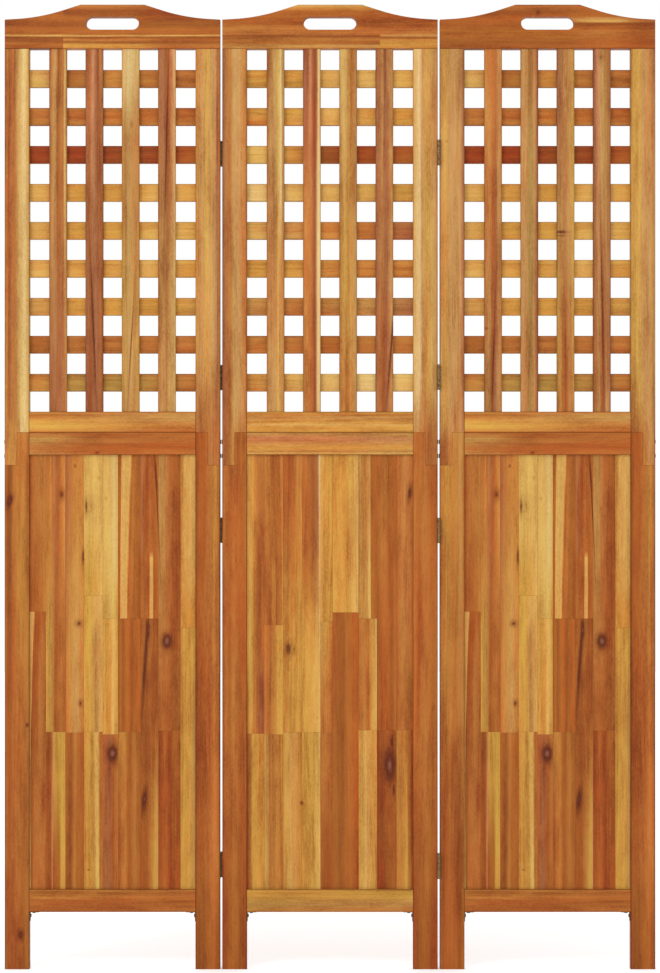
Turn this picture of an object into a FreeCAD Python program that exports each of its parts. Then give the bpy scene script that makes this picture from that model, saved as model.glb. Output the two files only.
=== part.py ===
import FreeCAD, Part
import os
import re
import Sketcher

# A folding room divider of three equal wooden panels, in millimetres.
# +X is to the right, +Y to the back and +Z up. The origin is on the floor, under the screen's middle.
# Each panel is a lower frame with a solid board and an upper frame with a lattice, joined by a lap.

SIZES = {
    # The screen and the frame of each panel
    "screen_height": 1800,
    "panel_width": 402,
    "panel_gap": 4,
    "frame_thickness": 20,
    "stile_width": 46,
    "leg_height": 106.9,
    "bottom_rail_height": 42.1,
    "panel_rail_height": 42,
    "lattice_rail_height": 38.5,
    "seam_height": 1002,
    "edge_radius": 1,
    # The top rail's raised crest and its handle slot
    "crest_height": 82.4,
    "crest_width": 120,
    "shoulder_height": 54.6,
    "knee_height": 58.4,
    "knee_inset": 66.6,
    "knee_reach": 45.3,
    "slot_length": 98.5,
    "slot_height": 23.8,
    "slot_drop": 34.6,
    # The lap that joins the upper and the lower frame inside each stile
    "lap_height": 61.5,
    "lap_width": 23,
    "lap_screw_spacing": 26.4,
    "lap_screw_diameter": 4.5,
    "lap_screw_head_diameter": 8.6,
    "lap_screw_head_gap": 0.8,
    "lap_screw_margin": 1,
    # Glued mortise and tenon joints
    "tenon_thickness": 8,
    "tenon_margin": 2,
    "rail_tenon_length": 20,
    "tongue_tenon_length": 10,
    "stile_tenon_width": 26,
    "stile_tenon_length": 25,
    "mortise_relief": 1,
    "fit_gap": 0.1,
    # The board of edge-glued staves, held in grooves
    "board_thickness": 10,
    "groove_depth": 8,
    "groove_relief": 0.5,
    # The lattice: upright slats in front of cross slats
    "vertical_slat_count": 4,
    "vertical_slat_width": 33.1,
    "edge_hole_width": 36.9,
    "cross_slat_count": 9,
    "cross_slat_height": 33.1,
    "slat_thickness": 8,
    "slat_tenon_length": 10,
    "slat_shoulder": 4,
    "slat_edge_radius": 0.8,
    # The butt hinges between the panels
    "top_hinge_inset": 193.6,
    "upper_hinge_inset": 64.5,
    "lower_hinge_inset": 141,
    "bottom_hinge_inset": 44,
    "hinge_length": 46,
    "leaf_width": 16,
    "leaf_thickness": 1.5,
    "leaf_corner_radius": 1.5,
    "knuckle_count": 5,
    "knuckle_diameter": 6.6,
    "knuckle_gap": 0.2,
    "knuckle_clearance": 0.3,
    "knuckle_stand_off": 0.2,
    "pin_diameter": 3,
    "pin_clearance": 0.05,
    "pin_head_diameter": 4.6,
    "pin_head_height": 0.8,
    "hinge_screw_diameter": 2.8,
    "hinge_screw_head_diameter": 5.4,
    "hinge_screw_length": 14,
    "hinge_screw_spacing": 15,
    "hinge_screw_stagger": 1.6,
    # The steel angle brackets under the bottom rail, and their screws
    "bracket_leg": 18,
    "bracket_width": 12,
    "bracket_thickness": 1.2,
    "bracket_bend_radius": 1.2,
    "bracket_screw_inset": 8,
    "bracket_screw_diameter": 3,
    "bracket_screw_head_diameter": 7,
    "bracket_screw_head_height": 2.2,
    "bracket_screw_length": 12,
    # Screw recesses, and how far a cut runs past the face that it opens
    "recess_width": 0.8,
    "recess_depth": 1,
    "overrun": 1,
}

# The staves of a board: strips side by side, each jointed end to end at its own heights.
# Strip edges are shares of the board's visible width, from its left, and joints of its visible height.
STRIP_EDGE_SHARES = {
    "side": (0, 0.098, 0.216, 0.327, 0.441, 0.533, 0.669, 0.776, 0.909, 1),
    "middle": (0, 0.104, 0.218, 0.331, 0.443, 0.515, 0.672, 0.783, 0.901, 1),
}
JOINT_HEIGHT_SHARES = {
    "side": (
        (0.639,),
        (0.362,),
        (0.36,),
        (0.362, 0.676),
        (0.356, 0.623),
        (0.362, 0.623),
        (0.623,),
        (0.365,),
        (0.602,),
    ),
    "middle": (
        (0.358,),
        (0.356, 0.608),
        (0.361,),
        (0.361,),
        (0.358, 0.616),
        (0.637,),
        (0.366, 0.623),
        (0.366,),
        (0.366,),
    ),
}

# Shares: a pan head's crown of the head's height, a recess's length of the head's width, and the most
# of a straight stretch of the crest's outline that the curve at its knee may take
CROWN_SHARE = 0.75
RECESS_LENGTH_SHARE = 0.5
KNEE_CURVE_SHARE = 0.9

# Where each panel stands, in panel widths and gaps from the middle one
PANELS = {"left": -1, "middle": 0, "right": 1}
SIDES = ("left", "right")

# The stile edges that carry hinges, and the face that each hinge's pin stands proud of
HINGED_EDGES = {
    ("left", "right"): "back",
    ("middle", "left"): "back",
    ("middle", "right"): "front",
    ("right", "left"): "front",
}
QUARTER_TURN = 90
HALF_TURN = 180
X_AXIS = FreeCAD.Vector(1, 0, 0)
Y_AXIS = FreeCAD.Vector(0, 1, 0)
Z_AXIS = FreeCAD.Vector(0, 0, 1)

# Places worked out from the sizes, each a formula of size names
OPENING = "(panel_width - 2 * stile_width)"
BOARD_BOTTOM = "(leg_height + bottom_rail_height)"
BOARD_TOP = "(seam_height - panel_rail_height)"
LATTICE_BOTTOM = "(seam_height + lattice_rail_height)"
LATTICE_TOP = "(screen_height - crest_height)"
LAP_BOTTOM = "(seam_height - lap_height)"
LAP_MIDDLE = "(seam_height - lap_height / 2)"
LAP_SCREW_LENGTH = "(stile_width - tongue_tenon_length - mortise_relief - lap_screw_margin)"
LAP_SCREW_HEAD_HEIGHT = "((panel_gap - lap_screw_head_gap) / 2)"
HOLE_WIDTH = (
    f"(({OPENING} - 2 * edge_hole_width - vertical_slat_count * vertical_slat_width)"
    " / (vertical_slat_count - 1))"
)
HOLE_HEIGHT = (
    f"(({LATTICE_TOP} - {LATTICE_BOTTOM} - cross_slat_count * cross_slat_height)"
    " / (cross_slat_count + 1))"
)
TENON_SHOULDER = "(groove_depth + tenon_margin)"
BOARD_REACH = "(groove_depth - groove_relief)"
NOTCH = "(knuckle_diameter / 2 + knuckle_clearance)"
PIN_Y = "(frame_thickness / 2 + knuckle_stand_off + knuckle_diameter / 2)"
LEAF_SCREW_Y = f"((leaf_width + {NOTCH}) / 2)"
UPPER_HINGES = (f"({LATTICE_TOP} - top_hinge_inset)", f"({LATTICE_BOTTOM} + upper_hinge_inset)")
LOWER_HINGES = (f"({BOARD_TOP} - lower_hinge_inset)", f"({BOARD_BOTTOM} + bottom_hinge_inset)")

# The crest's outline: a ramp down from the crest to the knee, then a gentler slope to the shoulder
RAMP_RUN = "(panel_width / 2 - knee_inset - crest_width / 2)"
RAMP_RISE = "(crest_height - knee_height)"
SHOULDER_RISE = "(knee_height - shoulder_height)"
KNEE_TURN = f"(atan({RAMP_RISE} / {RAMP_RUN}) - atan({SHOULDER_RISE} / knee_inset))"
KNEE_RADIUS = (
    f"min(knee_reach; {KNEE_CURVE_SHARE} * knee_inset; {KNEE_CURVE_SHARE} * {RAMP_RUN})"
    f" / tan({KNEE_TURN} / 2)"
)

doc = FreeCAD.newDocument("RoomDivider")
sheet = doc.addObject("Spreadsheet::Sheet", "Sizes")
for row, (alias, size) in enumerate(SIZES.items(), start=1):
    sheet.set(f"A{row}", alias)
    sheet.set(f"B{row}", str(size))
    sheet.setAlias(f"B{row}", alias)
doc.recompute()


def sized(text):
    """A formula of size names, written so that it reads them from the sheet."""
    return re.sub(r"[a-z_]+", lambda word: f"Sizes.{word[0]}" if word[0] in SIZES else word[0], text)


def value(text):
    """The number that a formula of size names has now."""
    return float(sheet.evalExpression(sized(text)))


def bind(feature, name, text):
    feature.setExpression(name, sized(text))


def put(feature, x="0", y="0", z="0"):
    for axis, text in zip("xyz", (x, y, z)):
        bind(feature, f"Placement.Base.{axis}", text)


def turned(axis, angle):
    return FreeCAD.Placement(FreeCAD.Vector(), FreeCAD.Rotation(axis, angle))


def panel_x(panel):
    """How far a panel stands to the right of the middle one."""
    return f"{PANELS[panel]} * (panel_width + panel_gap)"


def from_edge(side, distance):
    """The x of a place at a distance from its own panel's left or right edge."""
    if side == "left":
        return f"{distance} - panel_width / 2"
    return f"panel_width / 2 - ({distance})"


def span(side, near, far):
    """The low and high x of a stretch between two distances from a panel's edge."""
    ends = from_edge(side, near), from_edge(side, far)
    return ends if side == "left" else ends[::-1]


def centred(width):
    return f"-({width}) / 2", f"({width}) / 2"


# Features of a body

def new_body(label, panel=None):
    body = doc.addObject("PartDesign::Body", label)
    body.Label = label
    if panel:
        put(body, panel_x(panel))
    return body


def origin_feature(body, role):
    return next(item for item in body.Origin.OriginFeatures if item.Role == role)


def block(body, name, x, y, z, cut=False):
    """A box between two ends along each axis, added to the body or cut from it."""
    box = body.newObject("PartDesign::SubtractiveBox" if cut else "PartDesign::AdditiveBox", name)
    for side, (low, high) in zip(("Length", "Width", "Height"), (x, y, z)):
        bind(box, side, f"({high}) - ({low})")
    put(box, x[0], y[0], z[0])
    return box


def drill(body, name, diameter, along, length, start):
    """A round hole of some length from its start, along +X or +Z, with the fit gap all round."""
    hole = body.newObject("PartDesign::SubtractiveCylinder", name)
    bind(hole, "Radius", f"{diameter} / 2 + fit_gap")
    bind(hole, "Height", length)
    if along == "x":
        hole.Placement = turned(Y_AXIS, QUARTER_TURN)
    put(hole, *start)
    return hole


def outline(body, name, plane, points):
    """A closed sketch of straight lines whose corners are formulas of the sizes."""
    sketch = body.newObject("Sketcher::SketchObject", name)
    sketch.AttachmentSupport = (origin_feature(body, plane), [""])
    sketch.MapMode = "FlatFace"
    corners = [FreeCAD.Vector(value(x), value(y), 0) for x, y in points]
    for start, end in zip(corners, corners[1:] + corners[:1]):
        sketch.addGeometry(Part.LineSegment(start, end))
    for index, texts in enumerate(points):
        following = (index + 1) % len(points)
        sketch.addConstraint(Sketcher.Constraint("Coincident", index, 2, following, 1))
        for kind, text in zip(("DistanceX", "DistanceY"), texts):
            constraint = sketch.addConstraint(Sketcher.Constraint(kind, -1, 1, index, 1, value(text)))
            sketch.renameConstraint(constraint, f"{kind}{index}")
            bind(sketch, f"Constraints.{kind}{index}", text)
    doc.recompute()
    return sketch


def pad(body, sketch, thickness):
    """A slab of the sketch's shape, half of it on each side of the sketch's plane."""
    slab = body.newObject("PartDesign::Pad", "slab")
    slab.Profile = sketch
    slab.Midplane = True
    bind(slab, "Length", thickness)
    doc.recompute()
    return slab


def revolve(body, sketch):
    """A round solid about the body's Z axis."""
    solid = body.newObject("PartDesign::Revolution", "turned")
    solid.Profile = sketch
    solid.ReferenceAxis = (origin_feature(body, "Z_Axis"), [""])
    solid.Angle = 2 * HALF_TURN
    doc.recompute()
    return solid


def edges_where(feature, test):
    return [f"Edge{number}" for number, edge in enumerate(feature.Shape.Edges, start=1) if test(edge)]


def round_edges(body, radius, test):
    """A fillet on each edge of the body so far that passes the test."""
    doc.recompute()
    base = body.Tip
    fillet = body.newObject("PartDesign::Fillet", "rounded")
    fillet.Base = (base, edges_where(base, test))
    bind(fillet, "Radius", radius)
    doc.recompute()
    return fillet


def runs_along(edge, axis):
    """Whether an edge is a straight line along an axis."""
    if edge.Curve.TypeId != "Part::GeomLine":
        return False
    return edge.Curve.Direction.cross(axis).Length < Part.Precision.confusion()


def ends_round_at(edge, height):
    """Whether an edge is a circle at a height, above or below zero."""
    if edge.Curve.TypeId != "Part::GeomCircle":
        return False
    return abs(abs(edge.BoundBox.Center.z) - height) < Part.Precision.confusion()


def ease_faces(body):
    """Rounds every edge of the front and back faces of a piece of the frame."""
    half = value("frame_thickness / 2")
    tolerance = value("fit_gap / 2")

    def on_face(edge):
        box = edge.BoundBox
        return box.YLength < tolerance and abs(abs(box.Center.y) - half) < tolerance

    return round_edges(body, "edge_radius", on_face)


def pattern(body, originals, role, length, count):
    """Copies of features, or of the whole body where none are named, in a row."""
    copies = body.newObject("PartDesign::LinearPattern", "row")
    if originals:
        copies.Originals = originals
    else:
        copies.TransformMode = "Whole shape"
    copies.Direction = (origin_feature(body, role), [""])
    bind(copies, "Length", length)
    bind(copies, "Occurrences", count)
    body.Tip = copies
    doc.recompute()
    return copies


# Joints between the frame's pieces, each a tenon and the mortise that takes it

def grown(low, high, gap="fit_gap"):
    return f"{low} - {gap}", f"{high} + {gap}"


def tenon_heights(low, high):
    """The heights between which a rail that lies between low and high has its tenons."""
    return f"{low} + {TENON_SHOULDER}", f"{high} - {TENON_SHOULDER}"


def rail_tenons(body, length, low, high):
    reach = f"{OPENING} + 2 * {length}"
    block(body, "tenons", centred(reach), centred("tenon_thickness"), tenon_heights(low, high))


def rail_mortise(body, side, length, low, high):
    """The mortise in a stile's inner face for the tenon of a rail between low and high."""
    deep = span(side, f"stile_width - {length} - mortise_relief", "stile_width + overrun")
    wide = centred("tenon_thickness + 2 * fit_gap")
    block(body, "rail_mortise", deep, wide, grown(*tenon_heights(low, high)), cut=True)


def groove(body, x, z):
    block(body, "board_groove", x, centred("board_thickness + 2 * fit_gap"), z, cut=True)


def slat_left(number):
    """The x of the left side of an upright slat, counted from one."""
    return f"edge_hole_width + {number - 1} * ({HOLE_WIDTH} + vertical_slat_width) - {OPENING} / 2"


def slat_mortises(body, low, high):
    """The mortises in a rail for the tenons of the upright slats."""
    for number in range(1, int(value("vertical_slat_count")) + 1):
        left = f"{slat_left(number)} + slat_shoulder"
        right = f"{slat_left(number)} + vertical_slat_width - slat_shoulder"
        thick = grown("-slat_thickness", "0")
        block(body, "slat_mortise", grown(left, right), thick, (low, high), cut=True)


def lap_screw_heights():
    return [f"{LAP_MIDDLE} {sign} lap_screw_spacing / 2" for sign in "+-"]


def leaf_screw_places():
    """A leaf's screws: how far each is from the pin's axis, and from the hinge's middle height."""
    return [
        (
            f"{LEAF_SCREW_Y} + {abs(step)} * hinge_screw_stagger - hinge_screw_stagger / 2",
            f"{step} * hinge_screw_spacing",
        )
        for step in (-1, 0, 1)
    ]


def hinge_holes(body, panel, side, heights):
    """Pilot holes in a stile's outer edge for the screws of its hinges."""
    face = HINGED_EDGES.get((panel, side))
    if not face:
        return
    inward = "1" if face == "back" else "-1"
    length = "hinge_screw_length - leaf_thickness + overrun"
    start = span(side, "-overrun", f"{length} - overrun")[0]
    for height in heights:
        for away, up in leaf_screw_places():
            place = start, f"{inward} * ({PIN_Y} - ({away}))", f"{height} + {up}"
            drill(body, "hinge_screw_hole", "hinge_screw_diameter", "x", length, place)


# The wooden pieces of a panel

def top_rail(panel):
    rail = new_body(f"{panel}_panel_top_rail", panel)
    shoulder = f"{LATTICE_TOP} + shoulder_height"
    knee = f"{LATTICE_TOP} + knee_height"
    right_half = [
        ("panel_width / 2", LATTICE_TOP),
        ("panel_width / 2", shoulder),
        ("panel_width / 2 - knee_inset", knee),
        ("crest_width / 2", "screen_height"),
    ]
    left_half = [(f"-({x})", z) for x, z in reversed(right_half)]
    pad(rail, outline(rail, "crest_outline", "XZ_Plane", right_half + left_half), "frame_thickness")

    knee_height = value(knee)
    tolerance = value("fit_gap")
    round_edges(
        rail,
        KNEE_RADIUS,
        lambda edge: runs_along(edge, Y_AXIS) and abs(edge.BoundBox.Center.z - knee_height) < tolerance,
    )

    slot_z = "screen_height - slot_drop"
    straight = "(slot_length - slot_height)"
    through = centred("frame_thickness + 2 * overrun")
    slot_heights = f"{slot_z} - slot_height / 2", f"{slot_z} + slot_height / 2"
    block(rail, "handle_slot", centred(straight), through, slot_heights, cut=True)
    for end in centred(straight):
        cylinder = rail.newObject("PartDesign::SubtractiveCylinder", "slot_end")
        bind(cylinder, "Radius", "slot_height / 2")
        bind(cylinder, "Height", "frame_thickness + 2 * overrun")
        cylinder.Placement = turned(X_AXIS, -QUARTER_TURN)
        put(cylinder, end, through[0], slot_z)
    ease_faces(rail)

    for side in SIDES:
        near = "(stile_width - stile_tenon_width) / 2"
        width = grown(*span(side, near, f"{near} + stile_tenon_width"))
        height = f"{LATTICE_TOP} - overrun", f"{LATTICE_TOP} + stile_tenon_length + mortise_relief"
        block(rail, "stile_mortise", width, centred("tenon_thickness + 2 * fit_gap"), height, cut=True)
    slat_mortises(rail, f"{LATTICE_TOP} - overrun", f"{LATTICE_TOP} + slat_tenon_length + mortise_relief")
    return rail


def straight_rail(panel, name, low, high, tenon_length):
    """A rail that fills the opening between the stiles, with a tenon at each end."""
    rail = new_body(f"{panel}_panel_{name}", panel)
    block(rail, "plank", centred(OPENING), centred("frame_thickness"), (low, high))
    ease_faces(rail)
    rail_tenons(rail, tenon_length, low, high)
    return rail


def lattice_rail(panel):
    rail = straight_rail(panel, "lattice_rail", "seam_height", LATTICE_BOTTOM, "rail_tenon_length")
    depth = "slat_tenon_length + mortise_relief"
    slat_mortises(rail, f"{LATTICE_BOTTOM} - ({depth})", f"{LATTICE_BOTTOM} + overrun")
    return rail


def panel_rail(panel):
    rail = straight_rail(panel, "panel_rail", BOARD_TOP, "seam_height", "tongue_tenon_length")
    height = f"{BOARD_TOP} - overrun", f"{BOARD_TOP} + groove_depth"
    groove(rail, centred(f"{OPENING} + 2 * overrun"), height)
    return rail


def bottom_rail(panel):
    rail = straight_rail(panel, "bottom_rail", "leg_height", BOARD_BOTTOM, "rail_tenon_length")
    height = f"{BOARD_BOTTOM} - groove_depth", f"{BOARD_BOTTOM} + overrun"
    groove(rail, centred(f"{OPENING} + 2 * overrun"), height)
    length = "bracket_screw_length - bracket_thickness + overrun"
    for side in SIDES:
        place = from_edge(side, "stile_width + bracket_screw_inset"), "0", "leg_height - overrun"
        drill(rail, "bracket_screw_hole", "bracket_screw_diameter", "z", length, place)
    return rail


def upper_stile(panel, side):
    """The upright of the upper frame, whose outer half runs down past the seam as the lap's tail."""
    stile = new_body(f"{panel}_panel_upper_{side}_stile", panel)
    corners = [
        ("0", LAP_BOTTOM),
        ("lap_width", LAP_BOTTOM),
        ("lap_width", "seam_height"),
        ("stile_width", "seam_height"),
        ("stile_width", LATTICE_TOP),
        ("0", LATTICE_TOP),
    ]
    points = [(from_edge(side, distance), z) for distance, z in corners]
    pad(stile, outline(stile, "stile_outline", "XZ_Plane", points), "frame_thickness")
    ease_faces(stile)

    near = "(stile_width - stile_tenon_width) / 2"
    width = span(side, near, f"{near} + stile_tenon_width")
    height = f"{LATTICE_TOP} - overrun", f"{LATTICE_TOP} + stile_tenon_length"
    block(stile, "top_tenon", width, centred("tenon_thickness"), height)
    rail_mortise(stile, side, "rail_tenon_length", "seam_height", LATTICE_BOTTOM)

    deep = span(side, "stile_width - slat_tenon_length - mortise_relief", "stile_width + overrun")
    low = f"{LATTICE_BOTTOM} + {HOLE_HEIGHT}"
    height = grown(f"{low} + slat_shoulder", f"{low} + cross_slat_height - slat_shoulder")
    mortise = block(stile, "cross_slat_mortise", deep, grown("0", "slat_thickness"), height, cut=True)
    rise = f"(cross_slat_count - 1) * ({HOLE_HEIGHT} + cross_slat_height)"
    pattern(stile, [mortise], "Z_Axis", rise, "cross_slat_count")

    length = "lap_width + 2 * overrun"
    start = span(side, "-overrun", "lap_width + overrun")[0]
    for height in lap_screw_heights():
        drill(stile, "lap_screw_hole", "lap_screw_diameter", "x", length, (start, "0", height))
    hinge_holes(stile, panel, side, UPPER_HINGES)
    return stile


def lower_stile(panel, side):
    """The upright of the lower frame, whose inner half runs up to the seam as the lap's tongue."""
    stile = new_body(f"{panel}_panel_lower_{side}_stile", panel)
    corners = [
        ("0", "0"),
        ("stile_width", "0"),
        ("stile_width", "seam_height"),
        ("lap_width", "seam_height"),
        ("lap_width", LAP_BOTTOM),
        ("0", LAP_BOTTOM),
    ]
    points = [(from_edge(side, distance), z) for distance, z in corners]
    pad(stile, outline(stile, "stile_outline", "XZ_Plane", points), "frame_thickness")
    ease_faces(stile)

    rail_mortise(stile, side, "rail_tenon_length", "leg_height", BOARD_BOTTOM)
    rail_mortise(stile, side, "tongue_tenon_length", BOARD_TOP, "seam_height")
    deep = span(side, "stile_width - groove_depth", "stile_width + overrun")
    groove(stile, deep, (f"{BOARD_BOTTOM} - groove_depth", f"{BOARD_TOP} + groove_depth"))

    near, far = "lap_width - overrun", f"{LAP_SCREW_LENGTH} + fit_gap"
    for height in lap_screw_heights():
        place = span(side, near, far)[0], "0", height
        drill(stile, "lap_screw_hole", "lap_screw_diameter", "x", f"{far} - ({near})", place)
    near, far = "stile_width + bracket_thickness - bracket_screw_length", "stile_width + overrun"
    place = span(side, near, far)[0], "0", "leg_height - bracket_screw_inset"
    drill(stile, "bracket_screw_hole", "bracket_screw_diameter", "x", f"{far} - ({near})", place)
    hinge_holes(stile, panel, side, LOWER_HINGES)
    return stile


def vertical_slat(panel, number):
    slat = new_body(f"{panel}_panel_vertical_slat_{number}", panel)
    left = slat_left(number)
    right = f"{left} + vertical_slat_width"
    thick = "-slat_thickness", "0"
    block(slat, "slat", (left, right), thick, (LATTICE_BOTTOM, LATTICE_TOP))
    round_edges(slat, "slat_edge_radius", lambda edge: runs_along(edge, Z_AXIS))
    ends = f"{LATTICE_BOTTOM} - slat_tenon_length", f"{LATTICE_TOP} + slat_tenon_length"
    block(slat, "tenons", (f"{left} + slat_shoulder", f"{right} - slat_shoulder"), thick, ends)
    return slat


def cross_slats(panel):
    slats = new_body(f"{panel}_panel_cross_slats", panel)
    low = f"{LATTICE_BOTTOM} + {HOLE_HEIGHT}"
    high = f"{low} + cross_slat_height"
    thick = "0", "slat_thickness"
    block(slats, "slat", centred(OPENING), thick, (low, high))
    round_edges(slats, "slat_edge_radius", lambda edge: runs_along(edge, X_AXIS))
    length = f"{OPENING} + 2 * slat_tenon_length"
    block(slats, "tenons", centred(length), thick, (f"{low} + slat_shoulder", f"{high} - slat_shoulder"))
    rise = f"(cross_slat_count - 1) * ({HOLE_HEIGHT} + cross_slat_height)"
    pattern(slats, [], "Z_Axis", rise, "cross_slat_count")
    return slats


def board(panel):
    """The board's staves, glued edge to edge and end to end, with its rim in the frame's grooves."""
    kind = "middle" if panel == "middle" else "side"
    edges = [f"{share} * {OPENING} - {OPENING} / 2" for share in STRIP_EDGE_SHARES[kind]]
    edges[0] += f" - {BOARD_REACH}"
    edges[-1] += f" + {BOARD_REACH}"
    staves = []
    for left, right, shares in zip(edges, edges[1:], JOINT_HEIGHT_SHARES[kind]):
        joints = [f"{BOARD_BOTTOM} + {share} * ({BOARD_TOP} - {BOARD_BOTTOM})" for share in shares]
        ends = [f"{BOARD_BOTTOM} - {BOARD_REACH}", *joints, f"{BOARD_TOP} + {BOARD_REACH}"]
        for low, high in zip(ends, ends[1:]):
            stave = doc.addObject("Part::Box", "stave")
            bind(stave, "Length", f"({right}) - ({left})")
            bind(stave, "Width", "board_thickness")
            bind(stave, "Height", f"({high}) - ({low})")
            put(stave, left, "-board_thickness / 2", low)
            staves.append(stave)
    return group(f"{panel}_panel_board", staves, panel)


# Steel pieces, each made once and then repeated where it is used

def group(label, pieces, panel=None):
    gathered = doc.addObject("Part::Compound", label)
    gathered.Label = label
    gathered.Links = pieces
    if panel:
        put(gathered, panel_x(panel))
    return gathered


def copy_of(piece, place, turn):
    """A copy of a piece, turned and then put at a place."""
    link = doc.addObject("App::Link", "copy")
    link.LinkedObject = piece
    link.Placement = turn
    put(link, *place)
    return link


def cross_recess(body, head_diameter, top):
    length = f"{head_diameter} * {RECESS_LENGTH_SHARE}"
    depth = f"{top} - recess_depth", f"{top} + overrun"
    block(body, "recess", centred(length), centred("recess_width"), depth, cut=True)
    block(body, "recess", centred("recess_width"), centred(length), depth, cut=True)


def pan_screw(name, length, head_height):
    """A round-headed wood screw that points down, with its head's underside at zero."""
    screw = new_body(name)
    shank, head = f"{name}_diameter / 2", f"{name}_head_diameter / 2"
    profile = [
        ("0", f"-({length})"),
        (shank, f"{shank} - ({length})"),
        (shank, "0"),
        (head, "0"),
        (head, head_height),
        ("0", head_height),
    ]
    revolve(screw, outline(screw, "screw_profile", "XZ_Plane", profile))
    top = value(head_height)
    round_edges(screw, f"{head_height} * {CROWN_SHARE}", lambda edge: ends_round_at(edge, top))
    cross_recess(screw, f"{name}_head_diameter", head_height)
    return screw


def hinge_screw():
    """A countersunk wood screw that points down, with its head's top at zero."""
    screw = new_body("hinge_screw")
    profile = [
        ("0", "-hinge_screw_length"),
        ("hinge_screw_diameter / 2", "hinge_screw_diameter / 2 - hinge_screw_length"),
        ("hinge_screw_diameter / 2", "-leaf_thickness"),
        ("hinge_screw_head_diameter / 2", "0"),
        ("0", "0"),
    ]
    revolve(screw, outline(screw, "screw_profile", "XZ_Plane", profile))
    cross_recess(screw, "hinge_screw_head_diameter", "0")
    return screw


def hinge_leaf(name, sign, first_knuckle):
    """A leaf on a stile's edge, on the side of its pin that the sign gives, with the pin at zero."""
    leaf = new_body(name)
    outer, inner = f"{sign} * panel_gap / 2", f"{sign} * (panel_gap / 2 - leaf_thickness)"
    thick = (outer, inner) if sign < 0 else (inner, outer)
    block(leaf, "plate", thick, ("-leaf_width", f"-{NOTCH}"), centred("hinge_length"))
    free_edge = -value("leaf_width")
    tolerance = value("fit_gap")
    round_edges(
        leaf,
        "leaf_corner_radius",
        lambda edge: runs_along(edge, X_AXIS) and abs(edge.BoundBox.Center.y - free_edge) < tolerance,
    )

    pitch = "(hinge_length / knuckle_count)"
    low = f"{first_knuckle} * {pitch} + knuckle_gap / 2 - hinge_length / 2"
    high = f"{low} + {pitch} - knuckle_gap"
    strap = block(leaf, "strap", thick, (f"-{NOTCH} - overrun", "0"), (low, high))
    barrel = leaf.newObject("PartDesign::AdditiveCylinder", "barrel")
    bind(barrel, "Radius", "knuckle_diameter / 2")
    bind(barrel, "Height", f"{pitch} - knuckle_gap")
    put(barrel, z=low)
    count = f"floor((knuckle_count - {first_knuckle} + 1) / 2)"
    pattern(leaf, [strap, barrel], "Z_Axis", f"2 * {pitch} * ({count} - 1)", count)

    bore = leaf.newObject("PartDesign::SubtractiveCylinder", "pin_bore")
    bind(bore, "Radius", "pin_diameter / 2 + pin_clearance")
    bind(bore, "Height", "hinge_length + 2 * overrun")
    put(bore, z="-hinge_length / 2 - overrun")
    for away, up in leaf_screw_places():
        hole = leaf.newObject("PartDesign::SubtractiveCone", "screw_hole")
        radii = "hinge_screw_diameter / 2 + fit_gap", "hinge_screw_head_diameter / 2 + fit_gap"
        bind(hole, "Radius1", radii[0])
        bind(hole, "Radius2", radii[1])
        bind(hole, "Height", "leaf_thickness")
        hole.Placement = turned(Y_AXIS, -sign * QUARTER_TURN)
        put(hole, outer, f"-({away})", up)
    return leaf


def hinge_pin():
    pin = new_body("hinge_pin")
    shank, head = "pin_diameter / 2", "pin_head_diameter / 2"
    upper_half = [
        (shank, "hinge_length / 2"),
        (head, "hinge_length / 2"),
        (head, "hinge_length / 2 + pin_head_height"),
        ("0", "hinge_length / 2 + pin_head_height"),
    ]
    lower_half = [(x, f"-({z})") for x, z in reversed(upper_half)]
    revolve(pin, outline(pin, "pin_profile", "XZ_Plane", lower_half + upper_half))
    tip = value("hinge_length / 2 + pin_head_height")
    round_edges(pin, "pin_head_height / 2", lambda edge: ends_round_at(edge, tip))
    return pin


def angle_bracket():
    """A bent strip with its corner at zero, one leg along +X under a rail and one down a stile."""
    bracket = new_body("angle_bracket")
    corners = [
        ("0", "0"),
        ("bracket_leg", "0"),
        ("bracket_leg", "-bracket_thickness"),
        ("bracket_thickness", "-bracket_thickness"),
        ("bracket_thickness", "-bracket_leg"),
        ("0", "-bracket_leg"),
    ]
    pad(bracket, outline(bracket, "bracket_outline", "XZ_Plane", corners), "bracket_width")
    tolerance = value("fit_gap")
    inside = FreeCAD.Vector(value("bracket_thickness"), 0, value("-bracket_thickness"))
    for radius, corner in (
        ("bracket_bend_radius", inside),
        ("bracket_bend_radius + bracket_thickness", FreeCAD.Vector()),
    ):
        round_edges(
            bracket,
            radius,
            lambda edge: runs_along(edge, Y_AXIS)
            and edge.BoundBox.Center.distanceToPoint(corner) < tolerance,
        )
    length = "bracket_thickness + 2 * overrun"
    up = "bracket_screw_inset", "0", "-bracket_thickness - overrun"
    across = "-overrun", "0", "-bracket_screw_inset"
    drill(bracket, "rail_hole", "bracket_screw_diameter", "z", length, up)
    drill(bracket, "leg_hole", "bracket_screw_diameter", "x", length, across)
    return bracket


# Where the steel pieces go

STRAIGHT = FreeCAD.Placement()
TURNED_ABOUT = turned(Z_AXIS, HALF_TURN)
POINTS_LEFT = turned(Y_AXIS, QUARTER_TURN)
POINTS_RIGHT = turned(Y_AXIS, -QUARTER_TURN)
POINTS_UP = turned(X_AXIS, HALF_TURN)
INWARD = {"left": POINTS_RIGHT, "right": POINTS_LEFT}
OUTWARD = {"left": POINTS_LEFT, "right": POINTS_RIGHT}


def lap_screws(panel, screw):
    """Screws through each tail into the tongue, with their heads on the panel's outer edges."""
    copies = [
        copy_of(screw, (from_edge(side, "0"), "0", height), INWARD[side])
        for side in SIDES
        for height in lap_screw_heights()
    ]
    return group(f"{panel}_panel_lap_screws", copies, panel)


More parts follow.
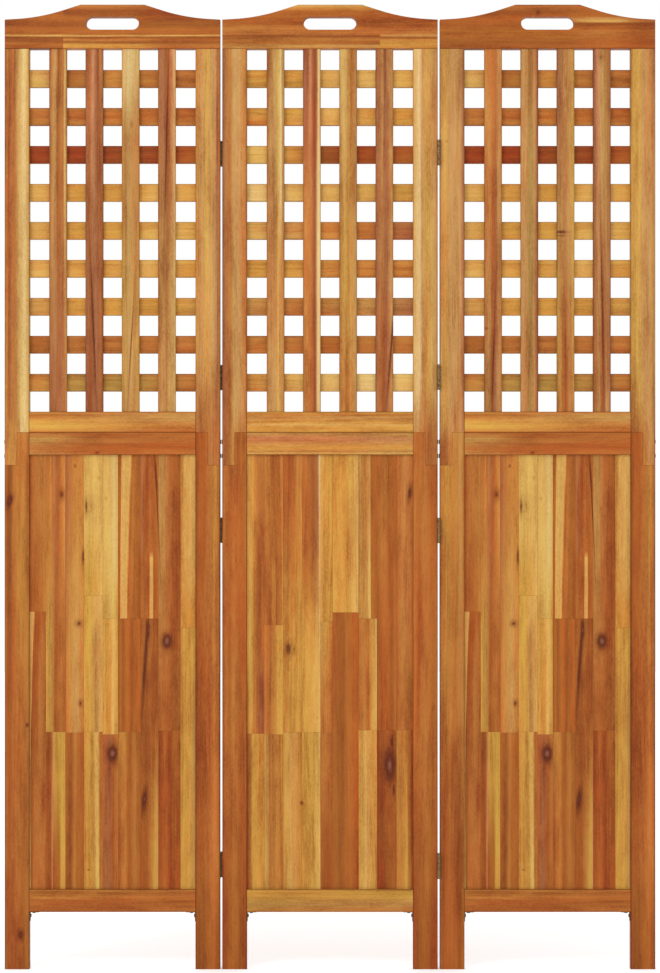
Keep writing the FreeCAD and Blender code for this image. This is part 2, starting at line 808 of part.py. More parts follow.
def corner_brackets(panel, bracket):
    copies = [
        copy_of(bracket, (from_edge(side, "stile_width"), "0", "leg_height"), turn)
        for side, turn in (("left", STRAIGHT), ("right", TURNED_ABOUT))
    ]
    return group(f"{panel}_panel_corner_brackets", copies, panel)


def bracket_screws(panel, screw):
    copies = []
    for side in SIDES:
        inset = from_edge(side, "stile_width + bracket_screw_inset")
        face = from_edge(side, "stile_width + bracket_thickness")
        copies.append(copy_of(screw, (inset, "0", "leg_height - bracket_thickness"), POINTS_UP))
        copies.append(copy_of(screw, (face, "0", "leg_height - bracket_screw_inset"), OUTWARD[side]))
    return group(f"{panel}_panel_bracket_screws", copies, panel)


def leaf_screws(screw, sign):
    """The screws of one leaf, in the hinge's own frame, with its pin's axis at zero."""
    face = f"{sign} * (panel_gap / 2 - leaf_thickness)"
    turn = POINTS_LEFT if sign < 0 else POINTS_RIGHT
    copies = [copy_of(screw, (face, f"-({away})", up), turn) for away, up in leaf_screw_places()]
    return group("leaf_screws", copies)


def at_hinges(piece, gap):
    """Copies of a piece at the four hinges of a gap, turned about on the right."""
    sign, turn = (-1, STRAIGHT) if gap == "left" else (1, TURNED_ABOUT)
    x = f"{sign} * (panel_width + panel_gap) / 2"
    y = f"{-sign} * {PIN_Y}"
    return [copy_of(piece, (x, y, height), turn) for height in UPPER_HINGES + LOWER_HINGES]


def hinges():
    """A folding panel's leaf has every second knuckle, and the middle panel's leaf the others."""
    folding_leaf = hinge_leaf("folding_leaf", -1, 1)
    fixed_leaf = hinge_leaf("fixed_leaf", 1, 0)
    pin = hinge_pin()
    screw = hinge_screw()
    folding_screws = leaf_screws(screw, -1)
    fixed_screws = leaf_screws(screw, 1)
    pieces = []
    for gap in SIDES:
        pieces.append(group(f"{gap}_hinge_{gap}_leaves", at_hinges(folding_leaf, gap)))
        pieces.append(group(f"{gap}_hinge_middle_leaves", at_hinges(fixed_leaf, gap)))
        pieces.append(group(f"{gap}_hinge_pins", at_hinges(pin, gap)))
        pieces.append(group(f"{gap}_panel_hinge_screws", at_hinges(folding_screws, gap)))
    both_gaps = [link for gap in SIDES for link in at_hinges(fixed_screws, gap)]
    pieces.append(group("middle_panel_hinge_screws", both_gaps))
    return pieces


def panel_pieces(panel, lap_screw, bracket, bracket_screw):
    pieces = [top_rail(panel), lattice_rail(panel), panel_rail(panel), bottom_rail(panel)]
    for side in SIDES:
        pieces.append(upper_stile(panel, side))
        pieces.append(lower_stile(panel, side))
    for number in range(1, int(value("vertical_slat_count")) + 1):
        pieces.append(vertical_slat(panel, number))
    pieces.append(cross_slats(panel))
    pieces.append(board(panel))
    pieces.append(lap_screws(panel, lap_screw))
    pieces.append(corner_brackets(panel, bracket))
    pieces.append(bracket_screws(panel, bracket_screw))
    return pieces


def check(pieces):
    """Stops if anything failed, before a file is written."""
    for item in doc.Objects:
        if "Invalid" in item.State or "Error" in item.State:
            raise ValueError(f"{item.Label} failed: {item.State}")
    for piece in pieces:
        if piece.Shape.isNull() or not piece.Shape.isValid():
            raise ValueError(f"{piece.Label} has no valid shape")


def write(pieces):
    os.makedirs("parts", exist_ok=True)
    for piece in pieces:
        piece.Shape.exportStep(f"parts/{piece.Label}.step")
        print(piece.Label, len(piece.Shape.Solids), piece.Shape.BoundBox)


bracket = angle_bracket()
lap_screw = pan_screw("lap_screw", LAP_SCREW_LENGTH, LAP_SCREW_HEAD_HEIGHT)
bracket_screw = pan_screw("bracket_screw", "bracket_screw_length", "bracket_screw_head_height")
sub_parts = hinges()
for panel in PANELS:
    sub_parts += panel_pieces(panel, lap_screw, bracket, bracket_screw)
doc.recompute()
check(sub_parts)
write(sub_parts)
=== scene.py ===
import math
import random
from dataclasses import dataclass

import bmesh
import bpy
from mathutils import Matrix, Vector


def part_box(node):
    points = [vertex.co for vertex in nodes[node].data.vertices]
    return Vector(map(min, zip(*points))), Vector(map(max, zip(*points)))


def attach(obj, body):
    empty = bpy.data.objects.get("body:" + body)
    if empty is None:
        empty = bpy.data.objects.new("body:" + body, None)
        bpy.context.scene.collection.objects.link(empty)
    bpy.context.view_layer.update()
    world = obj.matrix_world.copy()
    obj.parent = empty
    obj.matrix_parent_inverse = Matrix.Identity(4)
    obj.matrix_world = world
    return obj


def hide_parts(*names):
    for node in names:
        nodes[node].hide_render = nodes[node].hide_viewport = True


# The looks of a folding room divider of three wooden panels: the wood of every piece, the steel of the
# hinges and screws, the floor, the light and the camera. Lengths are in metres.

MM = 0.001
PANELS = ("left", "middle", "right")

# The wood's tones, from its pale sapwood to the dark of its knots
TONES = {
    "cream": (230, 192, 122),
    "straw": (220, 170, 92),
    "gold": (208, 150, 70),
    "tan": (198, 142, 78),
    "olive": (174, 128, 64),
    "orange": (198, 128, 62),
    "blush": (203, 134, 86),
    "sienna": (184, 112, 56),
    "mauve": (168, 104, 66),
    "rust": (172, 97, 46),
    "brown": (152, 84, 42),
    "red": (158, 73, 36),
    "ember": (186, 97, 45),
    "dark": (98, 48, 26),
    "knot_heart": (150, 98, 78),
}


@dataclass
class Look:
    """How a piece of wood looks: bands of tone across its grain, each with its place in percent."""
    bands: str
    far: str = ""
    turn: tuple = (0, 1)
    last: str = ""
    last_turn: tuple = (0, 1)
    lean: float = 0
    shade: float = 1


# Frame pieces and upright slats. Bands run from left to right, or from the bottom up on the rails, and
# "far" holds those that take over along the "turn", a share of the length, and "last" those after them.
LEFT_LOOKS = {
    "top_rail": Look(
        (
            "brown 0 rust 10 brown 18 brown 27 straw 30 rust 33"
            " rust 44 brown 52 rust 66 rust 86 orange 95 gold 99"
        ),
        far=(
            "orange 0 gold 9 brown 15 orange 21 brown 27 straw 30 rust 33"
            " rust 44 brown 52 rust 66 brown 86 sienna 96 orange 99"
        ),
        turn=(0.27, 0.273),
        last=(
            "rust 0 sienna 8 brown 14 rust 22 brown 27 straw 30"
            " rust 33 rust 44 brown 52 brown 66 red 86 rust 99"
        ),
        last_turn=(0.55, 0.8),
    ),
    "lattice_rail": Look(
        "orange 0 gold 25 gold 45 orange 65 rust 85 orange 100",
        far="sienna 0 orange 30 tan 60 tan 85 orange 100",
    ),
    "panel_rail": Look(
        "tan 0 sienna 30 tan 70 sienna 100",
        far="sienna 0 rust 40 sienna 60 rust 100",
        turn=(0.05, 0.45),
    ),
    "bottom_rail": Look("rust 0 sienna 40 orange 70 sienna 100", far="sienna 0 rust 50 sienna 100"),
    "upper_left_stile": Look(
        "orange 0 orange 18 orange 40 orange 52 tan 60 cream 66 straw 90 tan 99",
        far="sienna 0 orange 9 rust 18 sienna 32 sienna 44 tan 54 straw 64 cream 78 straw 90 gold 99",
        turn=(0.08, 0.12),
    ),
    "upper_right_stile": Look(
        "sienna 0 sienna 22 rust 42 sienna 64 sienna 92",
        far="gold 0 tan 25 gold 45 tan 66 tan 80 mauve 90 orange 98",
        turn=(0.04, 0.3),
    ),
    "lower_left_stile": Look(
        "mauve 0 rust 15 sienna 45 rust 80 sienna 99",
        far="sienna 0 rust 9 brown 14 brown 26 sienna 34 orange 50 orange 80 sienna 99",
        shade=0.9,
    ),
    # Darker bands at its foot, which "far" takes over higher up: painted shade towards the floor.
    "lower_right_stile": Look(
        "red 0 brown 18 brown 34 rust 50 rust 76 brown 90 brown 99",
        far="brown 0 rust 18 rust 34 sienna 50 sienna 66 orange 76 sienna 90 brown 99",
        turn=(0.02, 0.26),
        shade=0.94,
    ),
    "vertical_slat_1": Look(
        "rust 0 mauve 30 rust 50 mauve 66 sienna 84 sienna 92 tan 98",
        far="sienna 0 tan 30 rust 50 sienna 74 sienna 82 straw 90 tan 98",
        turn=(0.1, 0.7),
    ),
    "vertical_slat_2": Look(
        "mauve 0 brown 30 mauve 60 rust 95",
        far="mauve 0 sienna 25 blush 40 mauve 55 brown 68 sienna 78 mauve 98",
    ),
    "vertical_slat_3": Look(
        "gold 0 tan 40 gold 98",
        far="orange 0 tan 40 orange 98",
        turn=(0.3, 0.55),
        last="straw 0 cream 40 straw 98",
        last_turn=(0.74, 0.94),
        shade=0.92,
    ),
    "vertical_slat_4": Look(
        "orange 0 tan 28 sienna 46 tan 60 tan 84 straw 97",
        far="rust 0 mauve 25 brown 46 rust 60 blush 80 straw 97",
    ),
}
MIDDLE_LOOKS = {
    "top_rail": Look(
        (
            "orange 0 tan 6 rust 12 sienna 20 brown 29 sienna 33"
            " sienna 44 rust 56 rust 72 rust 84 orange 92 straw 99"
        ),
        far=(
            "orange 0 gold 12 orange 19 brown 25 tan 30 sienna 34"
            " sienna 44 rust 56 rust 72 rust 84 orange 92 straw 99"
        ),
        turn=(0.73, 0.733),
    ),
    "lattice_rail": Look("gold 0 gold 22 straw 36 gold 50 tan 70 orange 84 gold 100"),
    "panel_rail": Look("olive 0 straw 7 tan 16 gold 30 tan 50 blush 72 tan 90 tan 100"),
    "bottom_rail": Look("orange 0 tan 30 gold 70 gold 100", shade=0.86),
    "upper_left_stile": Look(
        "mauve 0 rust 12 sienna 30 orange 50 sienna 75 orange 99",
        far="brown 0 mauve 8 sienna 16 sienna 34 tan 46 tan 70 orange 90 sienna 99",
        turn=(0.04, 0.16),
    ),
    "upper_right_stile": Look(
        "tan 0 orange 36 sienna 56 rust 74 sienna 98",
        far="straw 0 cream 26 tan 36 gold 60 tan 80 orange 98",
        turn=(0.04, 0.2),
    ),
    # Both lower stiles have darker bands at their feet, which "far" takes over higher up: painted shade
    # towards the floor.
    "lower_left_stile": Look(
        "red 0 brown 14 rust 30 rust 50 brown 70 red 98",
        far="rust 0 sienna 14 rust 30 sienna 48 rust 70 rust 98",
        turn=(0.02, 0.45),
    ),
    "lower_right_stile": Look(
        "red 0 brown 20 rust 50 brown 74 red 94",
        far="sienna 0 rust 20 sienna 44 rust 74 rust 94",
        turn=(0.02, 0.45),
    ),
    "vertical_slat_1": Look(
        "orange 0 tan 20 tan 46 gold 58 straw 68 gold 78 tan 86 orange 98",
        far="orange 0 tan 20 tan 46 gold 58 straw 68 cream 80 tan 88 tan 98",
        turn=(0.4, 0.6),
        shade=0.94,
    ),
    "vertical_slat_2": Look(
        "orange 0 orange 30 sienna 50 brown 64 mauve 72 cream 82 cream 94 tan 98",
        far="mauve 0 mauve 26 blush 42 mauve 54 brown 62 red 69 mauve 78 cream 88 tan 98",
        turn=(0.5, 0.9),
    ),
    "vertical_slat_3": Look(
        "orange 0 gold 30 orange 52 gold 64 tan 98",
        far="straw 0 straw 40 gold 58 orange 72 tan 98",
        turn=(0.4, 0.95),
        shade=0.9,
    ),
    "vertical_slat_4": Look(
        "mauve 0 sienna 30 rust 46 mauve 60 tan 84 tan 98",
        far="mauve 0 tan 36 mauve 56 tan 76 tan 98",
    ),
}
RIGHT_LOOKS = {
    **LEFT_LOOKS,
    "top_rail": Look(
        "rust 0 brown 14 rust 28 rust 46 rust 58 rust 70 brown 84 sienna 99",
        far="rust 0 rust 18 sienna 36 rust 50 brown 58 straw 63 tan 68 rust 73 rust 90 rust 99",
        turn=(0.55, 0.72),
        last="rust 0 brown 14 rust 36 rust 50 brown 58 sienna 64 rust 70 red 84 rust 99",
        last_turn=(0.78, 0.96),
    ),
    "upper_left_stile": Look(
        "rust 0 sienna 30 orange 60 tan 97",
        far="tan 0 gold 20 tan 40 tan 84 mauve 97",
        turn=(0.04, 0.1),
    ),
    "upper_right_stile": Look(
        "sienna 0 rust 30 orange 60 tan 80 sienna 97",
        far="gold 0 gold 30 tan 56 tan 84 sienna 93 tan 98",
        turn=(0.04, 0.2),
    ),
    "lower_left_stile": Look(
        "mauve 0 rust 15 sienna 45 rust 80 sienna 99",
        far="orange 0 gold 24 orange 46 orange 66 tan 84 orange 98",
        shade=0.88,
    ),
    "vertical_slat_1": Look(
        "sienna 0 tan 28 rust 45 mauve 60 tan 80 orange 97",
        far="orange 0 orange 40 sienna 62 tan 84 orange 97",
        shade=0.97,
    ),
    "vertical_slat_2": Look("tan 0 tan 30 olive 50 tan 78 mauve 90 brown 97", shade=0.93),
    "vertical_slat_3": Look(
        "gold 0 orange 30 rust 50 tan 70 gold 97",
        far="mauve 0 tan 45 tan 60 gold 92",
        shade=0.93,
    ),
    "vertical_slat_4": Look(
        "rust 0 tan 30 rust 52 mauve 60 tan 75 mauve 97",
        far="mauve 0 blush 25 tan 45 tan 60 sienna 82 mauve 96",
        shade=0.97,
    ),
}
LOOKS = {"left": LEFT_LOOKS, "middle": MIDDLE_LOOKS, "right": RIGHT_LOOKS}

# The cross slats, from the top down, with their tones from left to right
CROSS_SLAT_TONES = {
    "left": (
        "straw 0 tan 14 brown 20 orange 50 sienna 75 sienna 100",
        "sienna 0 sienna 25 orange 50 orange 80 sienna 100",
        "red 0 red 30 brown 60 red 80 rust 100",
        "straw 0 gold 30 gold 60 straw 80 gold 100",
        "straw 0 gold 25 gold 60 straw 80 gold 100",
        "straw 0 gold 40 straw 70 gold 100",
        "tan 0 gold 30 gold 70 gold 88 tan 100",
        "rust 0 sienna 25 sienna 85 sienna 100",
        "orange 0 olive 30 olive 60 sienna 100",
    ),
    "middle": (
        "gold 0 gold 30 straw 55 straw 80 gold 100",
        "orange 0 gold 25 straw 50 gold 80 gold 100",
        "straw 0 straw 12 orange 28 brown 46 red 66 rust 100",
        "cream 0 straw 30 straw 60 gold 100",
        "straw 0 tan 25 orange 50 sienna 72 mauve 100",
        "gold 0 gold 25 orange 60 orange 100",
        "tan 0 sienna 30 tan 70 mauve 100",
        "orange 0 sienna 25 rust 50 sienna 75 sienna 100",
        "orange 0 straw 40 cream 72 straw 100",
    ),
}
CROSS_SLAT_TONES["right"] = CROSS_SLAT_TONES["left"]

# The boards' staves, strip by strip from the left, each strip from its top stave down
SIDE_STAVES = (
    (
        Look("rust 0 rust 60 sienna 98", far="rust 0 sienna 40 sienna 98", turn=(0.1, 0.7), shade=0.98),
        Look("straw 0 straw 26 rust 33 rust 70 sienna 98", lean=3, shade=0.92),
    ),
    (
        Look(
            "gold 0 olive 30 sienna 38 rust 50 rust 64 sienna 80 rust 98",
            far="sienna 0 sienna 18 orange 26 sienna 38 mauve 50 rust 64 sienna 80 orange 98",
            turn=(0.3, 0.7),
        ),
        Look(
            "rust 0 rust 26 blush 33 rust 40 rust 70 gold 80 gold 96",
            far="rust 0 rust 26 blush 33 gold 41 gold 96",
            turn=(0.1, 0.95),
            shade=0.87,
        ),
    ),
    (
        Look(
            "sienna 0 orange 20 tan 50 tan 70 orange 94",
            far="mauve 0 sienna 30 orange 60 orange 95",
            shade=0.97,
        ),
        Look("rust 0 brown 30 sienna 50 rust 60 rust 95", shade=0.95),
    ),
    (
        Look(
            "gold 0 gold 40 gold 60 straw 96",
            far="straw 0 straw 45 straw 96",
            turn=(0.05, 0.6),
            shade=0.96,
        ),
        Look(
            "gold 0 gold 40 tan 60 straw 96",
            far="gold 0 gold 40 straw 60 straw 96",
            turn=(0.6, 0.95),
            shade=0.96,
        ),
        Look("gold 0 gold 45 straw 76 sienna 86 sienna 96", shade=0.9),
    ),
    (
        Look(
            "gold 0 straw 50 straw 80 gold 96",
            far="straw 0 straw 50 cream 80 straw 96",
            turn=(0.05, 0.45),
            shade=0.92,
        ),
        Look("gold 0 gold 45 straw 70 gold 96", shade=0.96),
        Look("sienna 0 mauve 40 rust 70 sienna 98", shade=0.95),
    ),
    (
        Look("rust 0 rust 14 straw 19 straw 56 ember 66 sienna 80 rust 98", lean=0.5, shade=0.95),
        Look("brown 0 rust 14 brown 22 rust 34 ember 50 brown 62 rust 74 ember 86 rust 98", shade=0.93),
        Look("sienna 0 orange 14 orange 30 rust 45 rust 55 sienna 75 rust 98", shade=0.87),
    ),
    (
        Look(
            "rust 0 sienna 36 rust 46 straw 53 straw 67 rust 74 rust 98",
            far="mauve 0 rust 30 sienna 50 rust 75 rust 98",
            turn=(0.36, 0.42),
        ),
        Look(
            "rust 0 rust 35 sienna 52 gold 84 tan 98",
            far="sienna 0 rust 34 sienna 50 rust 98",
            shade=0.88,
        ),
    ),
    (
        Look("sienna 0 sienna 35 rust 60 sienna 98", far="tan 0 tan 30 sienna 60 rust 96", shade=0.88),
        Look("red 0 rust 30 red 56 rust 66 rust 98"),
    ),
    (
        Look("gold 0 gold 40 gold 98", far="gold 0 straw 40 straw 98", turn=(0.05, 0.4), shade=0.93),
        Look("gold 0 gold 60 tan 98", far="gold 0 gold 40 gold 98", turn=(0.55, 0.95), shade=0.97),
    ),
)
MIDDLE_STAVES = (
    (
        Look(
            "sienna 0 gold 16 orange 40 sienna 60 mauve 80 mauve 96",
            far="straw 0 gold 24 orange 42 sienna 60 sienna 75 sienna 96",
            turn=(0.12, 0.35),
            shade=0.97,
        ),
        Look("brown 0 sienna 22 gold 32 gold 96", shade=0.97),
    ),
    (
        Look(
            "sienna 0 rust 25 orange 45 rust 66 sienna 84 gold 96",
            far="sienna 0 orange 20 rust 45 sienna 96",
        ),
        Look("orange 0 sienna 30 orange 62 gold 70 gold 96", shade=0.95),
        Look("gold 0 tan 14 sienna 32 orange 70 orange 96", shade=0.93),
    ),
    (
        Look("gold 0 gold 40 gold 96", far="sienna 0 sienna 50 orange 96", turn=(0.35, 0.9), shade=0.96),
        Look("gold 0 straw 50 gold 96", shade=0.88),
    ),
    (
        Look(
            "gold 0 gold 50 straw 96",
            far="sienna 0 sienna 28 brown 60 mauve 84 cream 97",
            turn=(0.25, 0.85),
            shade=0.98,
        ),
        Look("gold 0 gold 60 straw 96", shade=0.93),
    ),
    (
        Look("straw 0 gold 30 gold 96"),
        Look("sienna 0 orange 50 sienna 96", far="tan 0 gold 50 orange 96", turn=(0.2, 0.9), shade=0.95),
        Look(
            "rust 0 brown 60 rust 96",
            far="sienna 0 orange 50 sienna 96",
            turn=(0.25, 0.95),
            shade=0.96,
        ),
    ),
    (
        Look("gold 0 gold 35 gold 60 straw 96", shade=0.98),
        Look("rust 0 brown 30 rust 54 rust 80 ember 92 rust 98", shade=0.97),
    ),
    (
        Look(
            "tan 0 orange 30 tan 50 straw 57 straw 64 rust 70 rust 96",
            far="tan 0 orange 40 tan 60 rust 70 rust 96",
            turn=(0.3, 0.6),
            shade=0.94,
        ),
        Look("sienna 0 orange 40 sienna 52 gold 62 straw 96", shade=0.95),
        Look("gold 0 straw 40 gold 96", shade=0.97),
    ),
    (
        Look(
            "brown 0 rust 30 rust 55 brown 75 rust 96",
            far="rust 0 sienna 40 rust 60 rust 96",
            turn=(0.4, 0.7),
        ),
        Look("red 0 red 30 brown 50 rust 96", far="red 0 brown 25 rust 50 rust 96", turn=(0.1, 0.35)),
    ),
    (
        Look("rust 0 sienna 40 rust 96", far="sienna 0 tan 45 sienna 96"),
        Look("orange 0 orange 30 gold 64 rust 90", shade=0.88),
    ),
)
STAVES = {"left": SIDE_STAVES, "middle": MIDDLE_STAVES, "right": SIDE_STAVES}


@dataclass
class Mark:
    """A knot or a dark streak in a panel's face, in millimetres from the panel's left foot."""
    x: float
    z: float
    half_width: float
    half_height: float
    slope: float = 0
    strength: float = 1


SIDE_MARKS = (
    Mark(106, 886, 7, 12, strength=0.78),
    Mark(130.8, 939, 2.5, 4, strength=0.75),
    Mark(146, 770, 2, 14, strength=0.95),
    Mark(151.8, 864, 3.4, 19, strength=0.85),
    Mark(161, 866, 8, 22, strength=0.55),
    Mark(175, 917, 5, 6, strength=0.4),
    Mark(189, 878, 4, 7, strength=0.35),
    Mark(137.8, 645, 7.5, 7, strength=0.8),
    Mark(141, 496, 5, 8, strength=0.8),
    Mark(156.4, 185, 3, 1.2, strength=0.85),
    Mark(200.7, 402, 8, 13, strength=1.15),
    Mark(284.7, 862, 1.1, 105, -0.045, 0.9),
    Mark(282, 918, 2, 38, -0.06, 0.95),
    Mark(262.3, 582, 2.4, 78, 0.067),
    Mark(267, 632, 3.4, 22, 0.03),
    Mark(260.4, 316, 4.6, 19, 0.12),
    Mark(302.8, 612, 7.5, 11.5, strength=1.15),
    Mark(172.8, 964, 4, 2.5, strength=0.8),
)
MIDDLE_MARKS = (
    Mark(68.6, 466, 3, 26, strength=0.6),
    Mark(123.3, 598, 6.5, 14, strength=0.9),
    Mark(123.3, 596, 1, 26, strength=0.85),
    Mark(134, 596, 8, 16, strength=0.6),
    Mark(148, 310, 2.5, 3, strength=0.95),
    Mark(312.6, 380, 9.5, 28, strength=1.1),
    Mark(316.4, 424, 4.6, 18, strength=0.85),
    Mark(320.5, 334, 3.6, 16, strength=0.85),
    Mark(350, 889, 5, 17, 0.1, 0.9),
    Mark(200, 1390, 1.6, 200, -0.02, 0.85),
    Mark(214, 1140, 1, 90, 0.06, 0.8),
    Mark(316, 1170, 2.4, 135, 0.08, 0.9),
    Mark(345, 1583, 4, 3, strength=0.9),
    Mark(10, 1545, 3, 4, strength=0.6),
)
RIGHT_MARKS = (
    *SIDE_MARKS,
    Mark(225, 1376, 12, 3, strength=0.9),
    Mark(225, 1369, 12, 1.5, strength=0.8),
    Mark(303, 1250, 1.8, 190, -0.02, 0.85),
    Mark(100, 1140, 1.6, 110, 0.03, 0.8),
    Mark(183, 1786, 5, 6, strength=0.75),
    Mark(300.6, 1702, 6.5, 13, strength=0.65),
    Mark(86, 1196, 8, 3, strength=0.7),
    Mark(12, 1545, 3, 3, strength=0.6),
)
LEFT_MARKS = (
    *SIDE_MARKS,
    Mark(9.5, 874, 5, 9.5, 0.3, 1.05),
    Mark(42, 456, 3, 4, strength=0.9),
    Mark(30, 64, 4.4, 9),
    Mark(165, 1202, 2.2, 165, -0.041, 0.85),
    Mark(235.7, 1165, 1.3, 120, 0.058, 0.8),
    Mark(302, 1550, 1.3, 170, 0.025, 0.9),
    Mark(236.6, 1577, 5, 11, strength=0.5),
)
MARKS = {"left": LEFT_MARKS, "middle": MIDDLE_MARKS, "right": RIGHT_MARKS}

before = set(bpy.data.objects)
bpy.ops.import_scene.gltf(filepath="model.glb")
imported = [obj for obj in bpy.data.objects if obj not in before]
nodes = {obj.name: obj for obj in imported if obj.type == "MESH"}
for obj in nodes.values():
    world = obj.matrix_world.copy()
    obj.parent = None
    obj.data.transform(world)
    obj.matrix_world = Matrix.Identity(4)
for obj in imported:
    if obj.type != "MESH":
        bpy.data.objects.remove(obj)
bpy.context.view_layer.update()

# The axes' places in a vector
X, Y, Z = range(3)


# Colours and node trees

SRGB_LINEAR_PART = 0.04045
SRGB_SLOPE = 12.92
SRGB_OFFSET = 0.055
SRGB_GAMMA = 2.4


def linear(tone):
    """A tone of screen values from 0 to 255, as the renderer's linear colour."""
    shares = [value / 255 for value in tone]
    values = [
        share / SRGB_SLOPE if share <= SRGB_LINEAR_PART
        else ((share + SRGB_OFFSET) / (1 + SRGB_OFFSET)) ** SRGB_GAMMA
        for share in shares
    ]
    return (*values, 1)


class Graph:
    """Makes the nodes of a tree. The calls that work out a value return its socket. Node returns the node
    itself, and split the sockets of a vector's three parts."""

    def __init__(self, tree):
        self.tree = tree

    def node(self, kind, inputs=(), **settings):
        node = self.tree.nodes.new(kind)
        for name, setting in settings.items():
            setattr(node, name, setting)
        for name, source in dict(inputs).items():
            if isinstance(source, bpy.types.NodeSocket):
                self.tree.links.new(source, node.inputs[name])
            else:
                node.inputs[name].default_value = source
        return node

    def maths(self, operation, *values):
        return self.node("ShaderNodeMath", enumerate(values), operation=operation).outputs[0]

    def vector_maths(self, operation, *values):
        return self.node("ShaderNodeVectorMath", enumerate(values), operation=operation).outputs[0]

    def join(self, x, y, z):
        return self.node("ShaderNodeCombineXYZ", enumerate((x, y, z))).outputs[0]

    def split(self, vector):
        return self.node("ShaderNodeSeparateXYZ", {0: vector}).outputs

    def length(self, vector):
        return self.node("ShaderNodeVectorMath", {0: vector}, operation="LENGTH").outputs["Value"]

    def fade(self, value, start, end, low=0, high=1):
        """Goes smoothly from low to high as the value goes from start to end."""
        inputs = {0: value, 1: start, 2: end, 3: low, 4: high}
        return self.node("ShaderNodeMapRange", inputs, interpolation_type="SMOOTHSTEP").outputs[0]

    def rise(self, value, end):
        """Goes evenly from 0 to 1 as the value goes from 0 to end."""
        return self.node("ShaderNodeMapRange", {0: value, 1: 0, 2: end}).outputs[0]

    def nudge(self, value, noise, reach):
        """Moves a value to and fro by noise, whose middle is a half."""
        return self.maths("MULTIPLY_ADD", self.maths("SUBTRACT", noise, 0.5), reach, value)

    def noise(self, place, stretch, detail=2.0, roughness=0.5):
        """Noise whose features number so many to the metre along each axis."""
        place = self.vector_maths("MULTIPLY", place, stretch)
        inputs = {"Vector": place, "Scale": 1, "Detail": detail, "Roughness": roughness}
        return self.node("ShaderNodeTexNoise", inputs).outputs["Fac"]

    def ramp(self, share, stops):
        node = self.node("ShaderNodeValToRGB", {"Fac": share})
        elements = node.color_ramp.elements
        for place, _ in stops[len(elements):]:
            elements.new(place)
        for element, (place, colour) in zip(elements, stops):
            element.position = place
            element.color = colour
        return node.outputs["Color"]

    def mix(self, share, first, second, blend="MIX"):
        inputs = {0: share, 6: first, 7: second}
        return self.node("ShaderNodeMix", inputs, data_type="RGBA", blend_type=blend).outputs[2]

    def tint(self, share, colour, tint):
        """Multiplies a colour by a tint, as far as the share goes."""
        return self.mix(share, colour, tint, "MULTIPLY")

    def bump(self, height, strength):
        relief = {"Height": height, "Distance": BUMP_HEIGHT, "Strength": strength}
        return self.node("ShaderNodeBump", relief).outputs["Normal"]

    def finish(self, surface):
        """Ends the tree in one surface shader with the given inputs."""
        shader = self.node("ShaderNodeBsdfPrincipled", surface)
        self.node("ShaderNodeOutputMaterial", {"Surface": shader.outputs["BSDF"]})


def blank_material(name):
    material = bpy.data.materials.new(name)
    material.use_nodes = True
    material.node_tree.nodes.clear()
    return material, Graph(material.node_tree)


# The grain that all the wood shares. Its places are in metres across, into and along the grain. In the
# same order, each noise has so many features to the metre.

@dataclass
class Pattern:
    """Noise that darkens and lightens the wood: in full on dark wood by its weight, and on all wood alike
    by its steady weight. Its values from low to high spread over its whole contrast."""
    stretch: tuple
    detail: float
    roughness: float
    weight: float
    steady_weight: float = 0
    low: float = 0.25
    high: float = 0.75


BROAD_STREAKS = Pattern((75, 40, 1.3), 4, 0.6, weight=0.4, low=0.28, high=0.72)
CLOUDS = Pattern((36, 25, 4), 3, 0.55, weight=0.6)
BLOTCHES = Pattern((70, 50, 17), 3, 0.6, weight=0.46)
SWELLS = Pattern((9, 9, 2.6), 2, 0.5, weight=0.45)
FINE_STREAKS = Pattern((330, 200, 4), 2, 0.6, weight=0.3)
MOTTLES = Pattern((560, 400, 170), 2, 0.6, weight=0.1, steady_weight=0.3)
PATTERNS = (BROAD_STREAKS, CLOUDS, BLOTCHES, SWELLS, FINE_STREAKS, MOTTLES)

FIBRES = (1500, 900, 24)
FIBRES_WEIGHT = 0.7
FIBRES_STEADY_WEIGHT = 0.2
PORES = (900, 700, 60)
PORES_SHOW = (0.62, 0.72)
PORES_WEIGHT = 0.1

# Pale wood, as bright as this and brighter, is calmer than dark wood
PALE_BRIGHTNESS = 0.45
DARK_BRIGHTNESS = 0.22
CALM = 0.42

# Growth rings
DRIFTS = (5, 5, 1.1)
DRIFT_REACH = 0.035
KNOT_REACH = 0.009
TRUNK_TAPER = 0.012
RINGS_TO_THE_METRE = 260
RINGS_SHOW = (0.3, 0.7)
RINGS_WEIGHT = 0.26
RING_LINES_TO_THE_METRE = 95
LATE_WOOD_SHARPNESS = 5
LATE_WOOD_WEIGHT = 0.24

# The reds and yellows that come and go
HUES = (34, 24, 2.2)
HUE_MOTTLES = (260, 180, 60)
HUE_MOTTLES_SHARE = 0.35
RED_SHOWS = (0.5, 0.65)
YELLOW_SHOWS = (0.5, 0.35)

# How dark the grain has to be for its darkest colour, and how light for its lightest
DEEP_AT = 0.8
PALE_AT = -0.65

# What the darkest, the lightest, the reddest and the yellowest grain multiply the base tone by, and what
# the ends of the grain do, and what the darkening along the pieces' edges does: painted shade on the frame,
# slats and hole rims, and dark glue lines and end joints on the staves
DEEP = (0.60, 0.44, 0.34, 1)
PALE = (1.20, 1.30, 1.42, 1)
RED = (0.99, 0.80, 0.72, 1)
YELLOW = (1.00, 1.12, 1.04, 1)
END_GRAIN = (0.62, 0.52, 0.44, 1)
EDGE_SHADE_AND_DARK_JOINTS = (0.42, 0.34, 0.24, 1)
EDGE_WIDTH = 0.0021
EDGE_SHOWS = (1.6 * EDGE_WIDTH, 0.7 * EDGE_WIDTH)
EDGE_SHARE = 0.6

# A knot is built up from its halo inwards. Each part starts to show where the first of its two mark
# distances lies, is there in full at the second, and covers what lies under it by its share.
HALO_SHOWS = (2.3, 0.9)
HALO_SHARE = 0.6
KNOT_SHOWS = (1.3, 0.5)
KNOT_SHARE = 0.8
CORE_SHOWS = (0.8, 0.2)
CORE_SHARE = 0.4
HEART_SHOWS = (0.35, -0.15)
HEART_SHARE = 0.7

